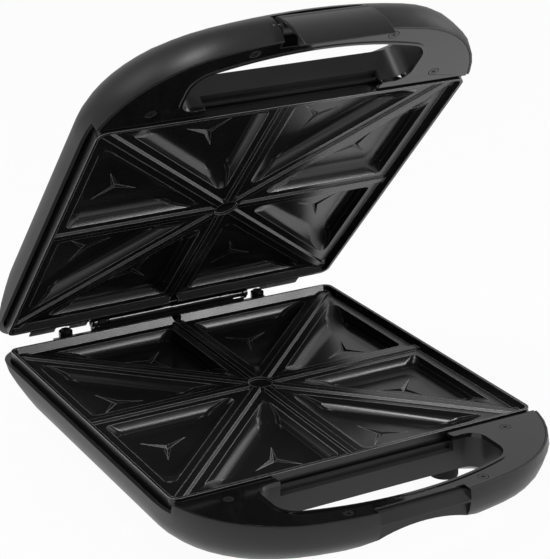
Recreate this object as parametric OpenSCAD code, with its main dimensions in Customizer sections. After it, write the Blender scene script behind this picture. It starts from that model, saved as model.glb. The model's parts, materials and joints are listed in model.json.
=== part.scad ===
// Sandwich toaster for four sandwiches, lid half open.
// Each half is drawn in its own frame: x across, y back from the plate's hinge-side rim,
// z up from the plane where the two plates meet, with the half hanging below that plane.
// The lid is the same half mirrored over that plane and turned open on the hinge axis.
// The origin lies on the table, under the middle of the opened toaster.

/* [Stance] */
// Opening angle of the lid at rest, from plates shut
lid_open = 47.5; // [30:0.5:90]
// Height of the baking plane over the table
rim_z = 50; // [46:0.5:70]
// Distance from the origin back to the hinge axis
hinge_y = 161; // [120:1:200]

/* [Baking plates] */
// Width of a plate
plate_w = 250; // [230:1:270]
// Depth of a plate, hinge side to handle side
plate_d = 250; // [235:1:260]
// Corner radius of a plate
plate_r = 6; // [3:0.5:9]
// Height of a plate's outer skirt
skirt_h = 9.4; // [9:0.1:10]
// Wall of the skirt
skirt_t = 2.6; // [2:0.1:4]
// Width of the rim's flat top
rim_w = 1.8; // [1:0.1:3]
// Drop from the rim to the ledge inside it
ledge_drop = 4.6; // [4:0.1:6]
// Sideways run of the rim's inner slope
slope_run = 3; // [2:0.1:4]
// Width of the flat land between the rim and a pocket
ledge_w = 5.8; // [4:0.1:8]
// Distance from the middle of a ridge to a pocket's edge
land_w = 8.6; // [7:0.1:10]
// Drop from the rim to the top of the cutting ridges
ridge_drop = 3.2; // [2.6:0.1:3.6]
// Width of a ridge's flat top
ridge_w = 4.4; // [3:0.1:6]
// Drop from the rim to a pocket's floor
pocket_drop = 13; // [11:0.5:14]
// Corner radius of a pocket's floor
pocket_r = 8; // [5:0.5:9]
// Metal thickness under a pocket
plate_t = 2.8; // [2:0.1:3.5]
// Radius of the hub where the ridges meet
hub_r = 8; // [6:0.5:12]
// Depth of the hub's dish below the ridges
hub_drop = 1.6; // [0.5:0.1:2]
// Distance of a pocket's star from the plate's rim
star_rim = 39; // [36:0.5:42]
// Distance of a pocket's star from the straight ridge beside it
star_side = 38; // [35:0.5:41]
// Length of a star's arms
star_arm = 18; // [12:0.5:20]
// Depth of a star in a pocket's floor
star_h = 1.4; // [0.6:0.1:1.6]
// Distance from a star's middle to the corners between its arms
star_neck = 2.4; // [1.5:0.1:3.5]
// Width of the vent notch in the hinge-side rim
notch_w = 7; // [4:0.5:12]

/* [Casings] */
// Reach of the deck line past the plate's sides
deck_over = 2; // [1:0.1:5]
// Front of the deck line, forward of the plate's front rim
deck_front = 69.5; // [66:0.5:76]
// Radius of the deck line's front sweep
front_r = 290; // [260:5:400]
// Radius of the deck line's front corners
corner_r = 80; // [70:1:85]
// Back of the deck line, behind the plate's hinge-side rim
deck_back = 12; // [11:0.5:14]
// Radius of the casing's back corners
back_r = 20; // [14:1:24]
// Casing wall
wall = 2.5; // [1.8:0.1:3]
// Depth of a casing below the baking plane
shell_h = 38; // [35:0.5:42]
// Depth of the side lips below the baking plane
lip_drop = 6.7; // [5.5:0.1:8]
// Depth at which the casing is widest
belly_drop = 11; // [9:0.5:13]
// How far the casing side swells past the deck line there
swell = 3; // [2:0.1:4]
// Rounding of the casing below that, at the sides
side_run = 46; // [30:1:60]
// Rounding under the handle
front_run = 78; // [60:1:90]
// Lean of the back wall
back_lean = 0.9; // [0.5:0.05:1.2]
// Height of the front lip beside the deck
deck_drop = 1.2; // [0.6:0.1:2]
// Thickness of the gloss deck panel
deck_t = 2.2; // [1.6:0.1:3]
// Length of the deck screws
deck_screw_l = 12; // [8:0.5:14]
// Gap round the deck panel
deck_gap = 0.3; // [0.2:0.05:0.6]

/* [Hand opening] */
// Half width of the hand opening
hole_x = 77; // [60:1:85]
// Front edge of the opening, forward of the plate's front rim
hole_front = 56; // [50:0.5:57]
// Back edge of the opening, forward of the plate's front rim
hole_back = 8.5; // [7:0.5:14]
// Radius of the opening's front sweep
hole_sweep = 215; // [150:5:400]
// Corner radius at the front of the opening
hole_rf = 15; // [8:1:20]
// Corner radius at the back of the opening
hole_rb = 10; // [6:1:14]
// Half width of the stretch where the deck leaves the plate rim bare
gap_x = 60; // [40:1:64]
// Depth of the set-back in the inner wall along that stretch
gap_z = 10.2; // [8:0.2:14]
// Depth of the inner wall before the finger scoop starts
scoop_z = 23.4; // [20:0.2:26]
// Width of the bead round the opening
bead_w = 2.2; // [1.4:0.1:3]
// Height of the bead
bead_h = 0.6; // [0.3:0.1:1]

/* [Latch] */
// Width of the latch clip
latch_w = 59; // [40:1:64]
// Side clearance of the clip in its recess
latch_gap = 0.8; // [0.4:0.1:1.5]
// Opening angle of the latch at rest, from hooked
latch_open = 24; // [15:1:35]
// Latch pin, forward of the plate's front rim
pin_out = 68; // [67.5:0.25:69]
// Latch pin, depth below the baking plane
pin_drop = 12; // [11:0.25:13]
// Radius of the latch pin
pin_r = 1.5; // [1:0.1:2]
// Radius of the clip's roll round its pin
roll_r = 5.6; // [4.5:0.1:6]
// Thickness of the clip
latch_t = 3; // [2:0.1:3.6]
// Length of the clip below its pin
latch_len = 30; // [27:0.5:33]
// Depth of the catch ledge on the base, below the baking plane
catch_z = 9; // [8:0.1:10]

/* [Hinge] */
// Hinge axis behind the plate's hinge-side rim
axis_back = 10.3; // [10:0.1:12]
// Hinge axis above the baking plane
axis_up = 1.7; // [1:0.1:2.4]
// Outer radius of the hinge knuckles
knuckle_r = 4; // [3.6:0.1:4.4]
// Radius of the hinge pin
hinge_r = 2.5; // [1.8:0.1:2.8]
// Radial clearance of the lid's knuckles on the pin
run_gap = 0.05; // [0.02:0.01:0.1]
// End gap between neighbouring knuckles
knuckle_gap = 0.5; // [0.3:0.1:1]
// Length of a long knuckle
long_len = 38; // [30:1:44]
// Length of a short knuckle
short_len = 10; // [6:1:14]
// Thickness of the hinge strip
strip_t = 1.6; // [1.2:0.1:2]
// Height of the base strip's screw posts over the baking plane
post_up = 1.4; // [0.6:0.1:2]
// Depth of the lid strip's screw bosses under the baking plane
boss_drop = 4.3; // [3.5:0.1:4.6]
// Wire radius of the hinge spring
wire_r = 0.7; // [0.5:0.05:0.8]
// Number of turns in the hinge spring
spring_turns = 4; // [3:1:5]

/* [Fasteners and feet] */
// Radius of a deck screw's head
head_r = 3.1; // [2.6:0.1:3.6]
// Radius of a screw's shank
shank_r = 1.5; // [1.2:0.1:1.8]
// Radius of a screw boss
boss_r = 4; // [3.4:0.1:4.6]
// Half distance between the outer deck screws
screw_x1 = 95.5; // [90:0.5:98]
// Outer deck screws, forward of the plate's front rim
screw_y1 = 12; // [10:0.5:16]
// Half distance between the inner deck screws
screw_x2 = 45.4; // [42:0.2:48]
// Inner deck screws, forward of the plate's front rim
screw_y2 = 60; // [59:0.25:61]
// Half distance between the feet
foot_x = 83; // [70:1:90]
// Front feet, behind the plate's front rim
foot_front = 34; // [30:1:60]
// Back feet, forward of the plate's hinge-side rim
foot_back = 32; // [28:1:60]
// Radius of a foot
foot_r = 9.5; // [7:0.5:12]
// Height of a foot's rubber pad
foot_h = 8; // [5:0.5:8.5]

/* [Heating] */
// Half side of the heating element's loop
loop_x = 76; // [70:1:84]
// Bend radius of the heating element
loop_r = 24; // [16:1:30]
// Radius of the element's tube
tube_r = 3.2; // [2.8:0.1:3.4]
// Half side of the reflector tray
tray_x = 104; // [98:1:106]
// Sheet thickness of the reflector tray
tray_t = 0.6; // [0.5:0.1:1.2]
// Distance of the plate's lugs from its middle
lug_d = 52; // [44:1:58]
// Radius of a lug
lug_r = 4.6; // [4:0.1:5]
// Distance of the casing's posts from the plate's middle
post_d = 62; // [50:1:66]
// Width of the terminal block
block_w = 34; // [28:1:44]
// Depth of the terminal block
block_d = 14; // [10:1:16]
// Height of the terminal block
block_h = 7.5; // [6:0.5:8]
// Place of the terminal block, in front of the plate's hinge-side rim
block_y = 56; // [40:1:80]
// Length of the tray screws
tray_screw_l = 8; // [6:0.5:9]
// Radius of the hole for the mains lead
lead_r = 3.6; // [3:0.1:4.5]
// Sideways place of the mains lead's gland
gland_x = 40; // [20:1:55]
// Radius of an indicator lens
lens_r = 4.5; // [3.5:0.1:6]
// Half distance between the indicator lenses
lens_x = 13; // [8:0.5:24]
// Indicator lenses, behind the plate's front rim
lens_y = 78; // [70:1:110]

/* [Hidden] */
$fn = 48;
black_matte = "#2b2b2c";
black_gloss = "#161617";
coating = "#242425";
steel = "#b9bbbd";
eps = 0.01;            // skin that keeps two cuts from sharing a face
seat = 0.3;            // gap left where a piece rests on another
x_mid = plate_w / 2;
y_mid = -plate_d / 2;
deck_x = x_mid + deck_over;
front = -plate_d;      // the plate's front rim
deck_z = -deck_drop;
deck_under = deck_z - deck_t;
plate_under = -(pocket_drop + plate_t);
tube_z = plate_under - tube_r - 0.1;
tray_z = tube_z - tube_r - 1.2;          // inside of the tray's floor
pan_under = tray_z - tray_t;
floor_z = -(shell_h - wall);             // inside of the casing's floor
strip_top = -lip_drop + strip_t;         // the hinge strip lies on the casing's back ledge
base_y = hinge_y - axis_back;
foot_top = -rim_z + foot_h;

function arc(cx, cy, r, a0, a1, n) =
    [for (i = [0:n]) [cx + r * cos(a0 + (a1 - a0) * i / n), cy + r * sin(a0 + (a1 - a0) * i / n)]];

// Plan outline of a casing: two back corners, two wide front corners and a shallow front
// sweep. hx is its half width, fr its reach forward of the plate, by its back edge.
function outline(hx, fr, rc, by, rb, rs, n) = let (
        sy = front - fr + rs, cx = hx - rc,
        cy = sy - sqrt(pow(rs - rc, 2) - cx * cx), a = atan2(cx, sy - cy))
    concat(
        arc(hx - rb, by - rb, rb, 0, 90, n), arc(rb - hx, by - rb, rb, 90, 180, n),
        arc(-cx, cy, rc, 180, 270 - a, n), arc(0, sy, rs, 270 - a, 270 + a, n),
        arc(cx, cy, rc, 270 + a, 360, n)
    );

// The deck line grown by g.
function deck_line(g, n = 10) =
    outline(deck_x + g, deck_front + g, corner_r + g, deck_back + g, back_r + g, front_r + g, n);

// The casing's outline at depth d under its widest line, grown by g. Its sides and front
// draw in along quarter ellipses and its back wall leans in.
function low_line(d, g, n = 10) = let (
        u = d / (shell_h + 3 - belly_drop), e = 1 - sqrt(1 - u * u), m = min(1, d / 10))
    outline(deck_x + swell - side_run * e + g, deck_front + 2 - front_run * e + g,
        89 - 85 * e + g, deck_back + 0.3 - back_lean * d - 12 * e + g,
        28 + 26 * m - 30 * e + g, front_r + g, n);

// A rectangle with round corners, from y0 back to y1.
function soft_box(hx, y0, y1, r, n = 5) = concat(
    arc(hx - r, y1 - r, r, 0, 90, n),
    arc(r - hx, y1 - r, r, 90, 180, n),
    arc(r - hx, y0 + r, r, 180, 270, n),
    arc(hx - r, y0 + r, r, 270, 360, n)
);

// Hand opening grown by g: straight back, round corners, bowed front.
hole_cy = front - hole_front + hole_sweep;
hole_cx = hole_x - hole_rf;
hole_fy = hole_cy - sqrt(pow(hole_sweep - hole_rf, 2) - hole_cx * hole_cx);
hole_a = atan2(hole_cx, hole_cy - hole_fy);
function hand_hole(g, n = 8) = concat(
    arc(hole_x - hole_rb, front - hole_back - hole_rb, hole_rb + g, 0, 90, n),
    arc(hole_rb - hole_x, front - hole_back - hole_rb, hole_rb + g, 90, 180, n),
    arc(-hole_cx, hole_fy, hole_rf + g, 180, 270 - hole_a, n),
    arc(0, hole_cy, hole_sweep + g, 270 - hole_a, 270 + hole_a, 2 * n),
    arc(hole_cx, hole_fy, hole_rf + g, 270 + hole_a, 360, n)
);

// ---------- placing the two halves ----------
module on_base() translate([0, base_y, rim_z]) children();

module on_lid()
    translate([0, hinge_y, rim_z + axis_up])
    rotate([-lid_open, 0, 0])
    translate([0, -axis_back, -axis_up])
    mirror([0, 0, 1])
    children();

// The two hinge strips are one pressing. The lid's is turned round, not mirrored.
module turned() translate([2 * strip_mid, 0, 0]) mirror([1, 0, 0]) children();

module slab(z0, z1) translate([0, 0, z0]) linear_extrude(z1 - z0) children();

// ---------- casings ----------
// Outer skin of a half, grown by g.
module skin(g) hull() {
    for (r = [[deck_drop, 1.6], [lip_drop, 2.6]]) slab(-r[0] - g, -r[0] - g + eps)
        polygon(deck_line(r[1] + g));
    for (i = [0:7]) let (d = (shell_h - belly_drop) * i / 7)
        slab(-belly_drop - d - g, -belly_drop - d - g + eps) polygon(low_line(d, g));
}

// Finger scoop that flares out under the hand opening, grown by g.
module scoop(g) hull() {
    slab(g - scoop_z - eps, g - scoop_z) polygon(hand_hole(3.5 + g, 5));
    slab(g - scoop_z - 20, g - scoop_z - 20 + eps) polygon(hand_hole(35 + g, 5));
}

module bosses() {
    for (s = [-1, 1]) {
        translate([s * screw_x1, front - screw_y1, floor_z]) cylinder(r = boss_r, h = deck_under - floor_z);
        translate([s * screw_x2, front - screw_y2, floor_z]) cylinder(r = boss_r, h = deck_under - floor_z);
        for (y = [y_mid - post_d, y_mid + post_d])
            translate([s * post_d, y, floor_z - eps]) cylinder(r = lug_r, h = pan_under - seat - floor_z);
    }
}

// Solid left inside the shell: the tunnel and scoop of the hand opening, the latch seat in
// the handle, the rear ledge under the hinge strip, and the bosses and posts.
module core() {
    scoop(wall);
    slab(-shell_h, deck_under) polygon(hand_hole(wall));
    slab(-shell_h, -lip_drop) translate([-gap_x - wall, front - hole_back - wall])
        square([2 * (gap_x + wall), hole_back + 1]);
    slab(-shell_h, deck_under) translate([-latch_w / 2 - 3 * wall, front - deck_front - swell])
        square([latch_w + 6 * wall, deck_front + swell - hole_front]);
    slab(-shell_h, -lip_drop) translate([-ledge_x, 1.6]) square([2 * ledge_x, 20]);
    bosses();
}

module screw_cuts(z, deep) {
    for (s = [-1, 1]) {
        translate([s * screw_x1, front - screw_y1, z - deep]) cylinder(r = shank_r + 0.05, h = deep + 1);
        translate([s * screw_x2, front - screw_y2, z - deep]) cylinder(r = shank_r + 0.05, h = deep + 1);
    }
}

module casing(screw_xs) difference() {
    skin(0);
    difference() {
        skin(-wall);
        core();
    }
    // the hand opening, with its back wall set back between the deck's two ends
    scoop(0);
    slab(-2 * shell_h, 1) polygon(hand_hole(0));
    slab(-gap_z, 1) translate([-gap_x, front - hole_back - 3]) square([2 * gap_x, hole_back - 1]);
    // the seat of the deck panel, and the low side lips behind it
    slab(deck_under, 1) polygon(deck_line(deck_gap));
    slab(-lip_drop, 1) translate([-plate_w, front - 2.5]) square([2 * plate_w, 2 * plate_d]);
    // the well that the plate drops into
    slab(-skirt_h - 0.8, 1) polygon(soft_box(x_mid + 1, front - 1.2, 1, plate_r + 1));
    screw_cuts(deck_under, 14);
    hinge_cuts(screw_xs);
}

module hinge_cuts(xs) for (x = xs)
    translate([x, strip_y, -lip_drop - 12]) cylinder(r = shank_r + 0.05, h = 14);

// Side view of what is cut from the base handle, as a list of [y, z].
seat_back = front - deck_front + 7;
ramp_y = front - deck_front - 1;
catch_cut = [
    [seat_back, 2], [seat_back, deck_z], [ramp_y, -catch_z + 1], [ramp_y, -catch_z],
    [ramp_y + 3.6, -catch_z - 0.6], [ramp_y + 3.6, -shell_h], [ramp_y - 20, -shell_h], [ramp_y - 20, 2]
];
arch_r = 102;
arch_z = 14.6;

module along_x(w) rotate([90, 0, 90]) translate([0, 0, -w / 2]) linear_extrude(w) children();

module base_casing() color(black_matte) on_base() difference() {
    union() {
        casing(strip_screws);
        for (s = [-1, 1], y = foot_ys) translate([s * foot_x, y, foot_top + 1.2])
            cylinder(r = foot_r + 1.5, h = floor_z - foot_top);
    }
    along_x(latch_w + 2 * latch_gap) polygon(catch_cut);
    translate([0, ramp_y + 20, -arch_z - arch_r]) rotate([90, 0, 0]) cylinder(r = arch_r, h = 40, $fn = 96);
    for (s = [-1, 1], y = foot_ys) {
        translate([s * foot_x, y, foot_top - 1]) cylinder(r = foot_r + 0.05, h = 4.2);
        translate([s * foot_x, y, foot_top]) cylinder(r = 2.6, h = 12);
    }
    translate([gland_x, -20, gland_z]) rotate([-90, 0, 0]) {
        cylinder(r = lead_r + 2.4, h = 50);
        cylinder(r = lead_r + 4.3, h = 21.6);
    }
}
foot_ys = [front + foot_front, -foot_back];
gland_z = -lip_drop - 12;

module lid_casing() color(black_matte) on_lid() difference() {
    casing(lid_screws);
    // room for the latch clip, open to the front and to the other half
    slab(-pin_drop - roll_r - 3.5, 1) translate([-latch_w / 2 - latch_gap, front - deck_front - 20])
        square([latch_w + 2 * latch_gap, deck_front + 20 - pin_out + roll_r + 0.8]);
    translate([-latch_w / 2 - 4.5, front - pin_out, -pin_drop]) rotate([0, 90, 0])
        cylinder(r = pin_r + 0.02, h = latch_w + 9);
    for (s = [-1, 1]) translate([s * lens_x, front + lens_y, -shell_h - 1])
        cylinder(r = lens_r + 0.05, h = wall + 3);
}

// ---------- deck panels ----------
module deck() difference() {
    union() {
        slab(deck_under, deck_z) difference() {
            polygon(deck_line(0));
            translate([-2 * deck_x, front - 1]) square([4 * deck_x, 2 * plate_d]);
        }
        slab(deck_under, deck_z + bead_h) difference() {
            polygon(hand_hole(bead_w));
            translate([-gap_x, front - hole_back - 4]) square([2 * gap_x, hole_back + 4]);
        }
    }
    slab(deck_under - 1, 2) polygon(hand_hole(0));
    slab(deck_under - 1, 2) translate([-gap_x, front - hole_back - 4]) square([2 * gap_x, 20]);
    slab(deck_under - 1, 2) translate([-latch_w / 2 - latch_gap, front - deck_front - 20])
        square([latch_w + 2 * latch_gap, 20 + seat_back - front + deck_front]);
    screw_cuts(deck_z, 5);
    for (s = [-1, 1]) {
        translate([s * screw_x1, front - screw_y1, deck_z - 1.1]) cylinder(r = head_r + 0.3, h = 3);
        translate([s * screw_x2, front - screw_y2, deck_z - 1.1]) cylinder(r = head_r + 0.3, h = 3);
    }
}

module base_deck() color(black_gloss) on_base() deck();
module lid_deck() color(black_gloss) on_lid() deck();

// Pan-head screw with a cross recess, its head's seat at the origin.
module screw(length, head_h = 1.1) difference() {
    union() {
        cylinder(r = head_r, h = head_h);
        translate([0, 0, -length]) cylinder(r = shank_r, h = length + eps);
    }
    for (a = [0, 90]) rotate(a) translate([-head_r * 0.6, -0.35, head_h - 0.7]) cube([head_r * 1.2, 0.7, 1]);
}

module deck_screws() for (s = [-1, 1]) {
    translate([s * screw_x1, front - screw_y1, deck_z - 1.1]) rotate(30 * s) screw(deck_screw_l);
    translate([s * screw_x2, front - screw_y2, deck_z - 1.1]) rotate(55) screw(deck_screw_l);
}
module base_deck_screws() color(steel) on_base() deck_screws();
module lid_deck_screws() color(steel) on_lid() deck_screws();

// ---------- baking plates ----------
// Corner of the triangle t moved in by the offsets d, where d[i] belongs to side i -> i+1.
function unit(v) = v / norm(v);
function inward(t, i) = let (e = unit(t[(i + 1) % 3] - t[i])) [-e[1], e[0]];
function meet(p, n, a, q, m, b) =
    let (det = n[0] * m[1] - n[1] * m[0], u = n * p + a, v = m * q + b)
    [(u * m[1] - v * n[1]) / det, (n[0] * v - m[0] * u) / det];
function inset(t, d, i) = let (j = (i + 2) % 3)
    meet(t[i], inward(t, i), d[i], t[j], inward(t, j), d[j]);

// One ring of a pocket: the triangle moved in by d, its corners rounded to r, at height z.
arc_n = 4;
function ring(t, d, r, z) = [for (i = [0:2]) let (
        c = inset(t, [for (k = d) k + r], i),
        n0 = -inward(t, (i + 2) % 3), n1 = -inward(t, i),
        a0 = atan2(n0[1], n0[0]), step = atan2(n1[1], n1[0]) - a0,
        turn = step < 0 ? step + 360 : step)
    for (k = [0:arc_n]) [c[0] + r * cos(a0 + turn * k / arc_n), c[1] + r * sin(a0 + turn * k / arc_n), z]];

// Solid through stacked rings, the lowest first.
module stack(rings) {
    n = len(rings[0]);
    last = (len(rings) - 1) * n;
    polyhedron(
        points = [for (r = rings) each r],
        faces = concat(
            [[for (i = [0:n - 1]) i]],
            [for (k = [0:len(rings) - 2], i = [0:n - 1])
                [k * n + i, (k + 1) * n + i, (k + 1) * n + (i + 1) % n, k * n + (i + 1) % n]],
            [[for (i = [n - 1:-1:0]) last + i]]
        ),
        convexity = 4
    );
}

// The eight pocket triangles: middle of the plate, middle of a side, corner.
pockets = [for (sx = [-1, 1], sy = [-1, 1], k = [0, 1])
    let (o = [0, 0], m = k == 0 ? [sx * x_mid, 0] : [0, -sy * y_mid], c = [sx * x_mid, -sy * y_mid])
    ((m[0] * c[1] - m[1] * c[0]) > 0) ? [o, m, c, 0] : [o, c, m, 1]];

// Offsets of the three sides at one level: rim side r, ridge sides q.
function sides(p, r, q) = [q, r, q];

function pocket_rings(p, g) = let (
        t = [p[0], p[1], p[2]], h = ridge_w / 2, low = pocket_drop,
        led = rim_w + slope_run, out = led + ledge_w, rise = ledge_drop - ridge_drop)
    g == 0 ? concat(
        [for (q = [[10.5, 0], [7, 0.5], [3.8, 2], [1.4, 4.6]])
            ring(t, sides(p, out + q[0], land_w + q[0]), pocket_r, -low + q[1])],
        [ring(t, sides(p, out, land_w), pocket_r / 2, -ledge_drop),
         ring(t, sides(p, led, h + rise * 0.9), 2, -ledge_drop + eps),
         ring(t, sides(p, led - slope_run * rise / ledge_drop, h), 1.5, -ridge_drop + eps)]
    ) : [
        ring(t, sides(p, out + 9 - g, land_w + 9 - g), pocket_r + g, -low - g),
        ring(t, sides(p, out + 3.5 - g, land_w + 3.5 - g), pocket_r + g, -low + 2.2 - g / 2),
        ring(t, sides(p, skirt_t / 2, h), 1.5, -ledge_drop - plate_t + eps)
    ];

// A rounded square with its corner radius, at height z, as a ring of points.
function square_ring(in, r, z) =
    [for (q = soft_box(x_mid - in, front + in, -in, r, 4)) [q[0], q[1], z]];

// Three-armed star sunk in a pocket's floor, its arms towards the pocket's corners.
module star(p) {
    m = p[3] == 0 ? p[1] : p[2];
    c = p[3] == 0 ? p[2] : p[1];
    s = m - unit(m) * star_rim + unit(c - m) * star_side;
    arms = [for (i = [0:2]) unit(p[i] - s)];
    rim = [for (i = [0:2]) each [arms[i] * star_arm, unit(arms[i] + arms[(i + 1) % 3]) * star_neck]];
    stack([for (r = [[0.04, -star_h], [1, 0], [1, 1]])
        [for (q = rim) [s[0] + q[0] * r[0], s[1] + q[1] * r[0], -pocket_drop + r[1]]]]);
}

module plate() {
    difference() {
        union() {
            // skirt, and the sheet that carries the ridges
            slab(-skirt_h, 0) difference() {
                polygon(soft_box(x_mid, front, 0, plate_r));
                polygon(soft_box(x_mid - skirt_t, front + skirt_t, -skirt_t, plate_r - skirt_t));
            }
            slab(-ledge_drop - plate_t, 0) polygon(soft_box(x_mid, front, 0, plate_r));
            translate([0, y_mid, 0]) for (p = pockets) stack(pocket_rings(p, plate_t));
            for (a = [0:90:270]) translate([0, y_mid, tray_z]) rotate(a) translate([lug_d, 0, 0])
                cylinder(r = lug_r, h = -tray_z - ledge_drop - 1);
        }
        stack([
            square_ring(rim_w + slope_run * ridge_drop / ledge_drop, 3, -ridge_drop),
            square_ring(rim_w, plate_r - rim_w, 0),
            square_ring(rim_w, plate_r - rim_w, 2)
        ]);
        translate([0, y_mid, 0]) for (p = pockets) stack(pocket_rings(p, 0));
        translate([0, y_mid, -ridge_drop - hub_drop]) cylinder(r = hub_r, h = 5);
        translate([0, 4, -0.4]) rotate([90, 0, 0]) cylinder(r = notch_w / 2, h = 12);
        for (a = [0:90:270]) translate([0, y_mid, tray_z - 1]) rotate(a) translate([lug_d, 0, 0])
            cylinder(r = shank_r + 0.05, h = 10);
        translate([0, y_mid, 0]) for (p = pockets) star(p);
    }
}

module lower_plate() color(coating) on_base() plate();
module upper_plate() color(coating) on_lid() plate();

// ---------- heating ----------
module element() translate([0, y_mid, tube_z]) {
    s = loop_x - loop_r;
    for (a = [0:90:270]) rotate(a) translate([s, s, 0])
        rotate_extrude(angle = 90) translate([loop_r, 0]) circle(tube_r);
    for (a = [0:90:180]) rotate(a) translate([loop_x, -s, 0])
        rotate([-90, 0, 0]) cylinder(r = tube_r, h = 2 * s);
    // the fourth side is open: two straight tails to the terminals
    rotate(270) for (e = [-1, 1]) translate([loop_x, e * s - (e > 0 ? 34 : 0), 0]) rotate([-90, 0, 0])
        cylinder(r = tube_r, h = 34);
    rotate(270) for (e = [-1, 1]) translate([loop_x, e * (s - 34) - (e > 0 ? 9 : 0), 0]) rotate([-90, 0, 0])
        cylinder(r = 1.2, h = 9);
}
module lower_element() color(steel) on_base() element();
module upper_element() color(steel) on_lid() element();

module reflector() translate([0, y_mid, 0]) difference() {
    slab(pan_under, plate_under - seat) polygon(soft_box(tray_x, -tray_x, tray_x, 10));
    slab(tray_z, 1) polygon(soft_box(tray_x - tray_t, -tray_x + tray_t, tray_x - tray_t, 10 - tray_t));
    for (a = [0:90:270]) rotate(a) translate([lug_d, 0, pan_under - 1]) cylinder(r = shank_r + 0.2, h = 4);
}
module lower_reflector() color(steel) on_base() reflector();
module upper_reflector() color(steel) on_lid() reflector();

module tray_screws() translate([0, y_mid, pan_under]) for (a = [0:90:270])
    rotate(a) translate([lug_d, 0, 0]) mirror([0, 0, 1]) screw(tray_screw_l);
module base_tray_screws() color(steel) on_base() tray_screws();
module lid_tray_screws() color(steel) on_lid() tray_screws();

// ---------- hinge ----------
strip_mid = 1;                        // the knuckles meet here, 1 mm right of the middle
ledge_x = 88;
strip_y = 8;
long_x = strip_mid + knuckle_gap / 2;
short_x = -(long_len + knuckle_gap / 2 + knuckle_gap) - short_len + strip_mid;
ear_x = short_x - 11;
strip_screws = [-80, 70];
lid_screws = [for (x = strip_screws) 2 * strip_mid - x];

module on_axis(x, up) translate([x, axis_back, up]) rotate([0, 90, 0]) children();

module knuckle(x, len, bore, up) difference() {
    union() {
        on_axis(x, up) cylinder(r = knuckle_r, h = len);
        translate([x, axis_back + knuckle_r - 2.2, -lip_drop]) cube([len, 2.2, up + lip_drop]);
    }
    on_axis(x - 1, up) cylinder(r = bore, h = len + 2);
}

// Pressed strip with its knuckles, an end ear and two screw posts as high as post. The axis
// lies up above the baking plane in the base, and as far under it in the turned-over lid.
module hinge_leaf(bore, up, post) {
    difference() {
        slab(-lip_drop, strip_top) translate([-ledge_x + 1, 2])
            square([2 * ledge_x - 10, axis_back + knuckle_r - 2]);
        hinge_cuts(strip_screws);
        leaf_reliefs();
        on_axis(ear_x - 2, up) cylinder(r = knuckle_r + 0.5, h = 2 * (strip_mid - ear_x) + 4);
    }
    for (k = knuckles) knuckle(k[0], k[1], bore, up);
    for (x = strip_screws) difference() {
        translate([x, strip_y, -lip_drop]) cylinder(r = 4.8, h = lip_drop + post);
        translate([x, strip_y, -lip_drop - 1]) cylinder(r = shank_r + 0.05, h = 14);
    }
}

// The strip is cut back where the other leaf's screw posts stand and its knuckles turn.
knuckles = [[long_x, long_len], [short_x, short_len], [ear_x, 2.4]];
module leaf_reliefs() {
    for (x = lid_screws)
        translate([x, strip_y, -lip_drop - 1]) cylinder(r = 5.4, h = strip_t + 2);
    for (k = knuckles)
        translate([2 * strip_mid - k[0] - k[1] - 0.8 * knuckle_gap, axis_back - knuckle_r + 1,
            -lip_drop - 1]) cube([k[1] + 1.6 * knuckle_gap, 2 * knuckle_r, strip_t + 2]);
}

module leaf_screws(post) for (x = strip_screws) translate([x, strip_y, post]) rotate(20)
    screw(14.6 + post, 1.4);

module base_hinge() color("#3a3a3b") on_base() hinge_leaf(hinge_r + 0.02, axis_up, post_up);
module lid_hinge() color("#3a3a3b") on_lid() turned() hinge_leaf(hinge_r + run_gap, -axis_up, -boss_drop);
module base_hinge_screws() color(steel) on_base() leaf_screws(post_up);
module lid_hinge_screws() color(steel) on_lid() turned() leaf_screws(-boss_drop);

module hinge_pin() color(steel) translate([ear_x - 1.5, hinge_y, rim_z + axis_up]) rotate([0, 90, 0])
    cylinder(r = hinge_r, h = 2 * (strip_mid - ear_x) + 3);

// Torsion spring round the pin, as one unbroken tube.
spring_n = 8 * spring_turns;
spring_r = hinge_r + wire_r + 0.3;
spring_x0 = ear_x + 2.4 + wire_r + 0.3;
spring_len = short_x - ear_x - 2.4 - 2 * wire_r - 0.6;
module hinge_spring() color("#4a4a4c") translate([0, hinge_y, rim_z + axis_up])
    stack([for (k = [0:spring_n]) let (a = 360 * spring_turns * k / spring_n)
        [for (j = [0:5]) let (b = 60 * j, r = spring_r + wire_r * cos(b))
            [spring_x0 + spring_len * k / spring_n + wire_r * sin(b), r * cos(a), r * sin(a)]]]);

// ---------- electrics ----------
module thermal_fuse() color("#d8d2c4") on_base() translate([-30, y_mid, pan_under - 4.2]) {
    rotate([0, 90, 0]) cylinder(r = 2.2, h = 20);
    translate([4, -6, 1.8]) cube([12, 12, 2.4]);
}

// The block lies on the floor under the tray, in line with the lead's gland.
module terminal_block() color("#e6e2d6") on_base()
    translate([gland_x - block_w / 2, -block_y, floor_z]) difference() {
        cube([block_w, block_d, block_h]);
        for (i = [1, 3, 5]) translate([i * block_w / 6, block_d / 2, 2]) cylinder(r = 2.4, h = block_h);
    }

module cord_gland() color(black_matte) on_base() translate([gland_x, 1.6 - 1.3 - eps, gland_z])
    rotate([-90, 0, 0]) difference() {
        union() {
            cylinder(r = lead_r + 2.35, h = 11);
            cylinder(r = lead_r + 4, h = 1.3);
        }
        translate([0, 0, -1]) cylinder(r = lead_r, h = 14);
    }

module thermostat() color("#cfc6b4") on_lid() translate([26, y_mid + 22, pan_under]) {
    translate([0, 0, -6]) cylinder(r = 9, h = 6);
    for (s = [-1, 1]) translate([s * 5 - 1.5, -0.4, -9]) cube([3, 0.8, 3 + eps]);
}

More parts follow.
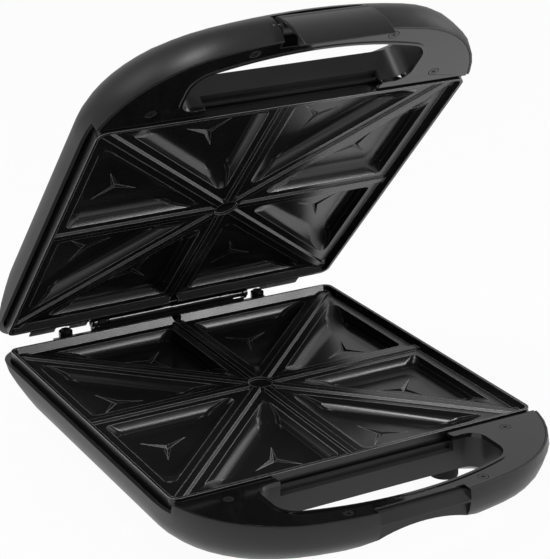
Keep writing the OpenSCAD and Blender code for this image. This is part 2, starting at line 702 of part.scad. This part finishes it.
module lamp_board() color("#3f6b46") on_lid() translate([0, front + lens_y, 0]) {
    translate([-lens_x - 11, -8, -shell_h + wall + 3]) cube([2 * lens_x + 22, 16, 1.6]);
    for (s = [-1, 1]) translate([s * (lens_x + 8), 0, -shell_h + wall]) cylinder(r = 2, h = 3 + eps);
}

module lens() translate([0, front + lens_y, -shell_h - 0.7]) {
    cylinder(r = lens_r, h = wall + 1.4);
    translate([0, 0, wall + 0.7]) cylinder(r = lens_r + 1, h = 1);
}
module power_lens() color("red") on_lid() translate([-lens_x, 0, 0]) lens();
module ready_lens() color("limegreen") on_lid() translate([lens_x, 0, 0]) lens();

// ---------- feet ----------
module base_feet() color("#1d1d1e") on_base() for (s = [-1, 1], y = foot_ys)
    translate([s * foot_x, y, -rim_z]) {
        cylinder(r = foot_r - 0.1, h = foot_h + 3);
        cylinder(r = 2.5, h = foot_h + 11);
    }

// ---------- latch ----------
module latch_pin() color(steel) on_lid() translate([-latch_w / 2 - 4, front - pin_out, -pin_drop])
    rotate([0, 90, 0]) cylinder(r = pin_r, h = latch_w + 8);

// Section of the clip when hooked, with its pin at the origin: y forward is negative,
// z runs from the lid towards the base. The outer face is one shallow bow.
bow_r = 46;
clip_in = 5.2;
hook_z = pin_drop + catch_z + 1;
clip = concat(
    arc(-roll_r + bow_r - latch_t + 0.6, latch_len / 2, bow_r, 200, 161, 12),
    [[-clip_in + 0.5, latch_len - 0.4], [-clip_in, latch_len - 4], [-clip_in + 3.8, hook_z + 2.6],
     [-clip_in + 4.2, hook_z], [-clip_in, hook_z - 0.6], [-clip_in, roll_r - 1], [-roll_r / 2, 0.5]]
);

module latch() color(black_matte) on_lid() translate([0, front - pin_out, -pin_drop])
    rotate([latch_open, 0, 0]) difference() {
        union() {
            along_x(latch_w) polygon(clip);
            along_x(latch_w) circle(roll_r);
        }
        along_x(latch_w + 2) circle(pin_r + run_gap);
    }

base_casing();
base_deck();
lower_plate();
lower_element();
lower_reflector();
base_deck_screws();
base_tray_screws();
base_feet();
base_hinge();
base_hinge_screws();
hinge_pin();
hinge_spring();
thermal_fuse();
terminal_block();
cord_gland();
lid_casing();
lid_deck();
upper_plate();
upper_element();
upper_reflector();
lid_deck_screws();
lid_tray_screws();
lid_hinge();
lid_hinge_screws();
thermostat();
lamp_board();
power_lens();
ready_lens();
latch_pin();
latch();
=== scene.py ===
"""Sandwich toaster with its lid half open, dressed for a studio picture."""
import json
import math

import bpy
from mathutils import Matrix, Vector

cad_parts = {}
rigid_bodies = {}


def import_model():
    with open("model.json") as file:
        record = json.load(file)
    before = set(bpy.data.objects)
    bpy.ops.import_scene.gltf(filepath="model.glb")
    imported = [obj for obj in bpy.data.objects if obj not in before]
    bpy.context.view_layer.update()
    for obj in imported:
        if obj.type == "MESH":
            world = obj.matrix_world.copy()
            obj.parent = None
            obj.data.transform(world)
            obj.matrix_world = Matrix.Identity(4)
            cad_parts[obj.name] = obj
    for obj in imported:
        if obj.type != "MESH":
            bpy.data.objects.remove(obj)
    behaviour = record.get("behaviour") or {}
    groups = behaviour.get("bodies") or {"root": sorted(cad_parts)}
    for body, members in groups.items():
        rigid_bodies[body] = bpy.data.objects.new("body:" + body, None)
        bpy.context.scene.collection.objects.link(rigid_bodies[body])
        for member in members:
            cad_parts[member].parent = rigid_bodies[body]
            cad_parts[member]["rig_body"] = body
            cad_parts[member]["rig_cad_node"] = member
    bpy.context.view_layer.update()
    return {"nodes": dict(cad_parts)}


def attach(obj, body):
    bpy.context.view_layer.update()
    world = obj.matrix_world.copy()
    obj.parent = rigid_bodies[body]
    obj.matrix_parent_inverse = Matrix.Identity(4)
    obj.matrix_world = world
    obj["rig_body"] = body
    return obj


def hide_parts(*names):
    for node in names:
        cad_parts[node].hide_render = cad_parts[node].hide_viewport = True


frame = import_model()

# ---- Camera ----
# A long lens looks down over the left front corner, as for a shop picture. Its place, tilt
# and length were worked out from the plates' rims, ridges and diagonals.
camera = bpy.data.objects.new("camera", bpy.data.cameras.new("camera"))
bpy.context.collection.objects.link(camera)
camera.location = (-0.51944, -0.931612, 0.533496)
camera.rotation_euler = [math.radians(a) for a in (69.113703, 0.291829, -29.111264)]
camera.data.sensor_width = 36
camera.data.lens = 118.14
camera.data.clip_start = 0.02
bpy.context.scene.camera = camera
bpy.context.scene.view_settings.view_transform = "Standard"

# ---- Room ----
# The room is pale behind and to the right of the toaster, dark before it and dimmer overhead,
# which the gloss decks mirror. The camera sees it plain white.
WHITE = (1, 1, 1, 1)
DARK_BEFORE, PALE_BEHIND = 0.128, 0.64      # the room's level, where 1 is white
DIM_LEFT, DIM_OVERHEAD = 0.55, 0.45         # the share of that level that is left there
FACTOR, FLOAT_A, FLOAT_B = 0, 2, 3          # a mix node's inputs, by their place


def add(tree, kind, **values):
    """A node of a kind, with its settings and its sockets' values by name."""
    node = tree.nodes.new(kind)
    for key, value in values.items():
        if hasattr(node, key):
            setattr(node, key, value)
        else:
            node.inputs[key.replace("_", " ")].default_value = value
    return node


def math_node(tree, operation, a, b):
    """A maths node on two values or sockets. Returns its output."""
    node = add(tree, "ShaderNodeMath", operation=operation)
    for socket, value in zip(node.inputs, (a, b)):
        if isinstance(value, bpy.types.NodeSocket):
            tree.links.new(value, socket)
        else:
            socket.default_value = value
    return node.outputs[0]


def ramp(tree, value, x0, x1, y0, y1, kind="SMOOTHSTEP"):
    """Maps a value from x0..x1 to y0..y1, held at both ends."""
    node = add(tree, "ShaderNodeMapRange", interpolation_type=kind)
    tree.links.new(value, node.inputs["Value"])
    for name, number in zip(("From Min", "From Max", "To Min", "To Max"), (x0, x1, y0, y1)):
        node.inputs[name].default_value = number
    return node.outputs["Result"]


def axes_of(tree, output):
    """The X, Y and Z outputs of one of the texture coordinates."""
    place = add(tree, "ShaderNodeTexCoord")
    split = add(tree, "ShaderNodeSeparateXYZ")
    tree.links.new(place.outputs[output], split.inputs[0])
    return split.outputs


world = bpy.data.worlds.new("room")
bpy.context.scene.world = world
world.use_nodes = True
tree = world.node_tree
tree.nodes.clear()
way = axes_of(tree, "Generated")
behind = ramp(tree, way["Y"], -0.3, 0.6, DARK_BEFORE, PALE_BEHIND)
beside = ramp(tree, way["X"], -0.6, 0.5, DIM_LEFT, 1.0)
overhead = ramp(tree, way["Z"], 0.35, 0.95, 1.0, DIM_OVERHEAD)
level = math_node(tree, "MULTIPLY", math_node(tree, "MULTIPLY", behind, beside), overhead)
path = add(tree, "ShaderNodeLightPath").outputs
seen = math_node(tree, "MAXIMUM", path["Is Camera Ray"], path["Is Transmission Ray"])
mix = add(tree, "ShaderNodeMix", data_type="FLOAT")
tree.links.new(seen, mix.inputs[FACTOR])
tree.links.new(level, mix.inputs[FLOAT_A])
mix.inputs[FLOAT_B].default_value = 1.0
sky = add(tree, "ShaderNodeBackground", Color=WHITE)
tree.links.new(mix.outputs[0], sky.inputs["Strength"])
tree.links.new(sky.outputs[0], add(tree, "ShaderNodeOutputWorld").inputs["Surface"])

# ---- Table ----
# A plain sheet of white paper. The camera sees it lit nearly to white, with a little of the
# paper's own shading for the shadow. What mirrors it sees it fall off behind the toaster.
PAPER = (0.86, 0.86, 0.86, 1)
GLOW_SHARE = 0.96                   # what the camera sees of the even white
FALL_START, FALL_END = 0.12, 0.45   # metres behind the toaster's middle
FAR_GLOW = 0.25                     # what a mirror still sees past the fall's end

bpy.ops.mesh.primitive_plane_add(size=9, location=(0, 0, 0))
table = bpy.context.object
table.name = "table"
sheet = bpy.data.materials.new("white_sheet")
sheet.use_nodes = True
tree = sheet.node_tree
tree.nodes.clear()
path = add(tree, "ShaderNodeLightPath").outputs
near = ramp(tree, axes_of(tree, "Object")["Y"], FALL_START, FALL_END, 1.0, FAR_GLOW)
seen = math_node(tree, "MULTIPLY", path["Is Glossy Ray"], near)
seen = math_node(tree, "MAXIMUM", seen, path["Is Camera Ray"])
seen = math_node(tree, "MAXIMUM", seen, path["Is Transmission Ray"])
seen = math_node(tree, "MULTIPLY", seen, GLOW_SHARE)
paper = add(tree, "ShaderNodeBsdfDiffuse", Color=PAPER)
glow = add(tree, "ShaderNodeEmission", Strength=1.0)
both = add(tree, "ShaderNodeMixShader")
tree.links.new(seen, both.inputs[FACTOR])
tree.links.new(paper.outputs[0], both.inputs[1])
tree.links.new(glow.outputs[0], both.inputs[2])
tree.links.new(both.outputs[0], add(tree, "ShaderNodeOutputMaterial").inputs["Surface"])
table.data.materials.append(sheet)

# ---- Lamps ----
# Three soft boxes at a low level, and a small lamp over the left front corner that catches
# the edges. Each row is a name, a place, a size in metres and a power in watts.
LAMP_AIM = Vector((0, 0, 0.1))

for name, place, size, watts in (
    ("softbox_left", (-1.5, 0.6, 1.5), 1.0, 6),
    ("softbox_front", (1.12, -1.7, 1.5), 0.6, 14),
    ("softbox_right", (1.9, 0.3, 1.1), 0.9, 4),
    ("spot_overhead", (-0.45, -0.25, 1.35), 0.35, 7),
):
    lamp = bpy.data.objects.new(name, bpy.data.lights.new(name, "AREA"))
    bpy.context.collection.objects.link(lamp)
    lamp.data.size, lamp.data.energy = size, watts
    lamp.location = place
    lamp.rotation_euler = (LAMP_AIM - Vector(place)).to_track_quat("-Z", "Y").to_euler()

# ---- Casings ----
# Two deep half shells in black moulded plastic, base and lid the same but for the latch and
# the feet. They are satin all over, with a fine even grain from the mould.
MM = 0.001
WELD = 2e-5         # metres between points that are one
FLAT_ANGLE = 0.4    # degrees under which two faces are one
MOST_SIDES = 20     # sides past which a flat face is split into triangles
SMOOTH_MORE = 4     # degrees past the rounding's angle that still shade smooth
CLOUD_START, CLOUD_FULL = 0.3, 0.7      # noise between which the wear comes in
COLOUR_A, COLOUR_B, COLOUR_OUT = 6, 7, 2    # a colour mix's sockets, by their place


def clean_copy(node, name, body, skin, edge, fold=30, rounds=2):
    """A finished copy of a solid: welded, its edges rounded, and shaded smooth.

    edge is the rounding in mm, rounds its steps, and fold the least angle in degrees that
    is rounded.
    """
    bpy.ops.object.select_all(action="DESELECT")
    source = frame["nodes"][node]
    piece = source.copy()
    piece.data = source.data.copy()
    piece.name = piece.data.name = name
    for key in ("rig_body", "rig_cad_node"):    # the copy is no longer the solid
        if key in piece:
            del piece[key]
    piece.parent = None
    piece.data.materials.clear()
    piece.data.materials.append(skin)
    bpy.context.collection.objects.link(piece)
    bpy.context.view_layer.objects.active = piece
    piece.select_set(True)
    bpy.ops.object.mode_set(mode="EDIT")
    bpy.ops.mesh.select_all(action="SELECT")
    bpy.ops.mesh.remove_doubles(threshold=WELD)
    bpy.ops.mesh.dissolve_limited(angle_limit=math.radians(FLAT_ANGLE))
    # A flat face with very many sides can be filled wrongly once its edges are rounded.
    bpy.ops.mesh.select_all(action="DESELECT")
    bpy.ops.mesh.select_face_by_sides(number=MOST_SIDES, type="GREATER")
    bpy.ops.mesh.quads_convert_to_tris(ngon_method="BEAUTY")
    bpy.ops.object.mode_set(mode="OBJECT")
    bevel = piece.modifiers.new("edge", "BEVEL")
    bevel.width, bevel.segments = edge * MM, rounds
    bevel.limit_method, bevel.angle_limit = "ANGLE", math.radians(fold)
    bpy.ops.object.modifier_apply(modifier="edge")
    bpy.ops.object.shade_smooth_by_angle(angle=math.radians(fold + SMOOTH_MORE))
    weigh = piece.modifiers.new("weigh", "WEIGHTED_NORMAL")
    weigh.keep_sharp = True
    bpy.ops.object.modifier_apply(modifier="weigh")
    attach(piece, body)
    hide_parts(node)


def new_group(name, inputs, outputs):
    """An empty node group of number sockets, with its input and output nodes."""
    group = bpy.data.node_groups.new(name, "ShaderNodeTree")
    for label, default in inputs:
        socket = group.interface.new_socket(label, in_out="INPUT", socket_type="NodeSocketFloat")
        socket.default_value = default
    for label in outputs:
        group.interface.new_socket(label, in_out="OUTPUT", socket_type="NodeSocketFloat")
    return group, add(group, "NodeGroupInput"), add(group, "NodeGroupOutput")


def group_node(tree, group, **values):
    """A node group placed in a material, with its sockets' values by name."""
    node = add(tree, "ShaderNodeGroup", node_tree=group)
    for key, value in values.items():
        node.inputs[key.replace("_", " ")].default_value = value
    return node


# Grain of a mould or a coat: fine pits for the bump, and broad cloudy wear for the roughness.
grain, into, out = new_group(
    "grain", (("Pits per metre", 2500), ("Cloud per metre", 14)), ("Height", "Cloud"))
place = add(grain, "ShaderNodeTexCoord")
pits = add(grain, "ShaderNodeTexNoise", Detail=3.0, Roughness=0.6)
cloud = add(grain, "ShaderNodeTexNoise", Detail=4.0, Roughness=0.55)
for noise, label in ((pits, "Pits per metre"), (cloud, "Cloud per metre")):
    grain.links.new(place.outputs["Object"], noise.inputs["Vector"])
    grain.links.new(into.outputs[label], noise.inputs["Scale"])
grain.links.new(pits.outputs["Fac"], out.inputs["Height"])
wear_and_shine = ramp(grain, cloud.outputs["Fac"], CLOUD_START, CLOUD_FULL, 0.0, 1.0)
grain.links.new(wear_and_shine, out.inputs["Cloud"])


def finish(name, colour, shade, rough, smooth, bump=0.0, depth=1e-4, pits=2500, cloud=14,
           **surface):
    """A material whose colour runs from colour to shade, and roughness from rough to smooth."""
    material = bpy.data.materials.new(name)
    material.use_nodes = True
    tree = material.node_tree
    skin = tree.nodes["Principled BSDF"]
    for key, value in surface.items():
        skin.inputs[key.replace("_", " ")].default_value = value
    wear_and_shine = group_node(tree, grain, Pits_per_metre=pits, Cloud_per_metre=cloud)
    tint = add(tree, "ShaderNodeMix", data_type="RGBA")
    tree.links.new(wear_and_shine.outputs["Cloud"], tint.inputs[FACTOR])
    tint.inputs[COLOUR_A].default_value = (*colour, 1)
    tint.inputs[COLOUR_B].default_value = (*shade, 1)
    tree.links.new(tint.outputs[COLOUR_OUT], skin.inputs["Base Color"])
    sheen = ramp(tree, wear_and_shine.outputs["Cloud"], 0, 1, rough, smooth, "LINEAR")
    tree.links.new(sheen, skin.inputs["Roughness"])
    if bump:
        dent = add(tree, "ShaderNodeBump", Strength=bump, Distance=depth)
        tree.links.new(wear_and_shine.outputs["Height"], dent.inputs["Height"])
        tree.links.new(dent.outputs[0], skin.inputs["Normal"])
    return material


satin = finish("satin_moulding", (0.020, 0.020, 0.021), (0.024, 0.024, 0.025), 0.36, 0.42,
               bump=0.35, depth=6e-5, pits=2200, cloud=9, IOR=1.44)
for half in ("base", "lid"):
    clean_copy(f"{half}_casing", f"{half}_shell", half, satin, edge=0.45)

# ---- Gloss decks ----
# A polished black panel round each hand opening, set flush in the casing with a hairline
# gap and a fine bead along the opening.
piano = finish("piano_black", (0.006, 0.006, 0.0065), (0.007, 0.007, 0.0075), 0.05, 0.08,
               bump=0.05, depth=4e-5, pits=160, cloud=6, IOR=1.5)
for half in ("base", "lid"):
    clean_copy(f"{half}_deck", f"{half}_panel", half, piano, edge=0.3, rounds=3)

# ---- Baking plates ----
# Die-cast aluminium under a dark non-stick coat, one plate seated in each casing. It has
# eight triangular pockets with soft corners, parted by flat ridges, and each pocket has a
# three-armed star sunk in its floor. The coat's colour is painted a light grey along every
# edge, as a painted highlight for the lamps' shine there.
EDGE_REACH = 0.6 * MM                       # how far from an edge the painted highlight reaches
ROUND_COSINE, FLAT_COSINE = 0.90, 0.995     # where the painted highlight is full, and where there is none
# The light grey painted on the coat's edges, as a painted highlight.
PAINTED_EDGE_SHINE = (0.50, 0.50, 0.505, 1)

coat = finish("non_stick", (0.010, 0.010, 0.0105), (0.014, 0.014, 0.0145), 0.27, 0.21,
              bump=0.12, depth=4e-5, pits=900, cloud=22, IOR=1.5)

# Painted edge highlight: the mask is 1 where the rounded normal leaves the face's own.
edges, into, out = new_group("edges", (("Reach", EDGE_REACH),), ("Edge",))
rounded = add(edges, "ShaderNodeBevel", samples=6)
edges.links.new(into.outputs["Reach"], rounded.inputs["Radius"])
flat = add(edges, "ShaderNodeNewGeometry")
dot = add(edges, "ShaderNodeVectorMath", operation="DOT_PRODUCT")
edges.links.new(rounded.outputs[0], dot.inputs[0])
edges.links.new(flat.outputs["True Normal"], dot.inputs[1])
wear_and_shine = ramp(edges, dot.outputs["Value"], ROUND_COSINE, FLAT_COSINE, 1.0, 0.0)
edges.links.new(wear_and_shine, out.inputs["Edge"])

# The coat's colour turns light grey along its edges, as a painted highlight.
tree = coat.node_tree
skin = tree.nodes["Principled BSDF"]
edge_shine_mix = add(tree, "ShaderNodeMix", data_type="RGBA")
wear_and_shine = group_node(tree, edges, Reach=EDGE_REACH)
tree.links.new(wear_and_shine.outputs["Edge"], edge_shine_mix.inputs[FACTOR])
tree.links.new(skin.inputs["Base Color"].links[0].from_socket, edge_shine_mix.inputs[COLOUR_A])
edge_shine_mix.inputs[COLOUR_B].default_value = PAINTED_EDGE_SHINE
tree.links.new(edge_shine_mix.outputs[COLOUR_OUT], skin.inputs["Base Color"])

for half, node in (("base", "lower_plate"), ("lid", "upper_plate")):
    clean_copy(node, node + "_coated", half, coat, edge=0.5, fold=26, rounds=3)

# ---- Latch ----
# A clip moulded in the casings' black. It hangs on a ground steel pin in the lid's handle
# and hooks under the base's, which holds the two halves shut.


def dress(material, *nodes):
    """Gives one material to solids that are shown as they are."""
    for node in nodes:
        data = frame["nodes"][node].data
        data.materials.clear()
        data.materials.append(material)


clean_copy("latch", "latch_clip", "latch", satin, edge=0.5)
ground = finish("ground_steel", (0.50, 0.50, 0.51), (0.58, 0.58, 0.59), 0.30, 0.22,
                bump=0.1, depth=2e-5, pits=3000, Metallic=1.0)
dress(ground, "latch_pin")

# ---- Hinge ----
# Two pressed strips with rolled knuckles on one pin, under a dark lacquer, each held by two
# screws. A flange stands on the base's strip before the knuckles, and the lid's strip lies
# under a thin cover on each side. The flange and the covers are a black darker than the
# casings, as painted shade for the recess round the hinge.
AXIS_BACK, AXIS_UP = 10.3, 1.7      # mm from the plate's hinge-side rim to the pin's axis
HINGE_Y, HINGE_Z = 161.0, 51.7      # mm from the frame's origin to the pin's axis
LID_OPEN = 47.5                     # degrees between the halves
FLANGE_FOOT, FLANGE_TOP = -5.1, 0.3     # mm over the plate's rim, as all heights here
FLANGE_FRONT, FLANGE_BACK = 5.6, 6.2    # mm behind the rim, as all depths here
COVER_UNDER, COVER_FACE = -4.7, -3.4
COVER_FRONT, COVER_BACK = 1.0, 15.4
POST_ROOM, POST_FRONT = 5.6, 9.8    # half a notch's width round a post, and where it starts
CUT_UNDER, CUT_OVER, CUT_BACK = -9, 1, 20   # the notch is cut right through the cover
SMOOTH_FLAT = 40                    # degrees that shade smooth on the flat parts

lacquer = finish("dark_lacquer", (0.012, 0.012, 0.0125), (0.018, 0.018, 0.0185), 0.16, 0.22,
                 bump=0.1, depth=3e-5, pits=700, cloud=60, IOR=1.7)
for half in ("base", "lid"):
    clean_copy(f"{half}_hinge", f"{half}_hinge_leaf", half, lacquer, edge=0.3)

# Each half has its own directions: x across, y back from the rim, z up out of the pockets.
on_hinge = Matrix.Translation(Vector((0, HINGE_Y, HINGE_Z)) * MM)
from_hinge = Matrix.Translation(Vector((0, -AXIS_BACK, -AXIS_UP)) * MM)
swing = Matrix.Rotation(math.radians(-LID_OPEN), 4, "X")
half_place = {
    "base": on_hinge @ from_hinge,
    "lid": on_hinge @ swing @ from_hinge @ Matrix.Scale(-1, 4, (0, 0, 1)),
}
# A black darker than the casings' own, as painted shade in the recess round the hinge.
painted_shade = finish("painted_shade_black", (0.006, 0.006, 0.006), (0.009, 0.009, 0.009), 0.55, 0.65,
              bump=0.2, depth=5e-5, pits=1800, Specular_IOR_Level=0.2)


def block(low, high):
    """A box between two corners in mm, as the active object."""
    bpy.ops.object.select_all(action="DESELECT")
    bpy.ops.mesh.primitive_cube_add(size=1)
    piece = bpy.context.object
    piece.location = (Vector(low) + Vector(high)) * MM / 2
    piece.scale = (Vector(high) - Vector(low)) * MM
    bpy.ops.object.transform_apply(location=True, rotation=True, scale=True)
    return piece


def flat_part(name, half, low, high, edge, notch=None):
    """A flat part in painted-shade black between two corners of its half, with a notch cut out.
    """
    piece = block(low, high)
    if notch:
        tool = block(*notch)
        bpy.ops.object.select_all(action="DESELECT")
        bpy.context.view_layer.objects.active = piece
        piece.select_set(True)
        cut = piece.modifiers.new("cut", "BOOLEAN")
        cut.object, cut.operation, cut.solver = tool, "DIFFERENCE", "EXACT"
        bpy.ops.object.modifier_apply(modifier="cut")
        bpy.data.objects.remove(tool)
    bevel = piece.modifiers.new("edge", "BEVEL")
    bevel.width, bevel.segments, bevel.limit_method = edge * MM, 2, "ANGLE"
    bpy.ops.object.modifier_apply(modifier="edge")
    # The lid's place mirrors the part, so its faces are turned outwards again.
    piece.matrix_world = half_place[half]
    bpy.ops.object.transform_apply(location=True, rotation=True, scale=True)
    bpy.ops.object.mode_set(mode="EDIT")
    bpy.ops.mesh.select_all(action="SELECT")
    bpy.ops.mesh.normals_make_consistent(inside=False)
    bpy.ops.object.mode_set(mode="OBJECT")
    bpy.ops.object.shade_smooth_by_angle(angle=math.radians(SMOOTH_FLAT))
    piece.name = piece.data.name = name
    piece.data.materials.append(painted_shade)
    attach(piece, half)


flat_part("base_hinge_flange", "base",
          (-60, FLANGE_FRONT, FLANGE_FOOT), (58, FLANGE_BACK, FLANGE_TOP), 0.2)
for side, low_x, high_x, post in (("right", 63.5, 106, 70), ("left", -104, -61.5, -80)):
    flat_part(f"lid_hinge_cover_{side}", "lid",
              (low_x, COVER_FRONT, COVER_UNDER), (high_x, COVER_BACK, COVER_FACE), 0.3,
              notch=((post - POST_ROOM, POST_FRONT, CUT_UNDER),
                     (post + POST_ROOM, CUT_BACK, CUT_OVER)))
dress(lacquer, "hinge_pin", "hinge_spring")

# ---- Screws ----
# Steel pan heads with a cross recess, driven into the casings and into the plates' lugs.
# They are blackened where they are in view, and plainly plated inside.
plated = finish("plated_steel", (0.16, 0.16, 0.165), (0.22, 0.22, 0.225), 0.30, 0.38,
                bump=0.1, depth=2e-5, pits=2600, Metallic=1.0)
blackened = finish("blackened_steel", (0.045, 0.045, 0.047), (0.065, 0.065, 0.068), 0.26, 0.34,
                   bump=0.1, depth=2e-5, pits=2600, Metallic=0.6)
dress(blackened, "base_deck_screws", "lid_deck_screws", "base_hinge_screws", "lid_hinge_screws")
dress(plated, "base_tray_screws", "lid_tray_screws")

# ---- Feet and gland ----
# Four soft rubber feet pressed into the base's floor, and a gland for the mains lead, moulded
# in the casings' black and set in the base's back wall.
rubber = finish("foot_rubber", (0.018, 0.018, 0.018), (0.026, 0.026, 0.026), 0.75, 0.85,
                bump=0.4, depth=8e-5, pits=1500)
dress(rubber, "base_feet")
dress(satin, "cord_gland")

# ---- Heating and lamps ----
# Behind each plate a tube element over a tray of bright sheet. The fuse, terminals and
# thermostat are fired clay, and a laminate board in the lid carries the lamps, one under a
# red lens and one under a green.
sheet_steel = finish("bright_sheet", (0.60, 0.60, 0.61), (0.66, 0.66, 0.67), 0.30, 0.22,
                     Metallic=1.0)
tube = finish("heated_tube", (0.22, 0.19, 0.17), (0.30, 0.27, 0.25), 0.45, 0.38, Metallic=1.0)
clay = finish("fired_clay", (0.72, 0.69, 0.62), (0.78, 0.75, 0.68), 0.7, 0.8)
laminate = finish("laminate", (0.08, 0.20, 0.11), (0.10, 0.23, 0.13), 0.4, 0.5)
red = finish("red_lens", (0.50, 0.015, 0.015), (0.55, 0.02, 0.02), 0.10, 0.14)
green = finish("green_lens", (0.03, 0.42, 0.07), (0.04, 0.46, 0.08), 0.10, 0.14)
dress(sheet_steel, "lower_reflector", "upper_reflector")
dress(tube, "lower_element", "upper_element")
dress(clay, "thermal_fuse", "terminal_block", "thermostat")
dress(laminate, "lamp_board")
dress(red, "power_lens")
dress(green, "ready_lens")
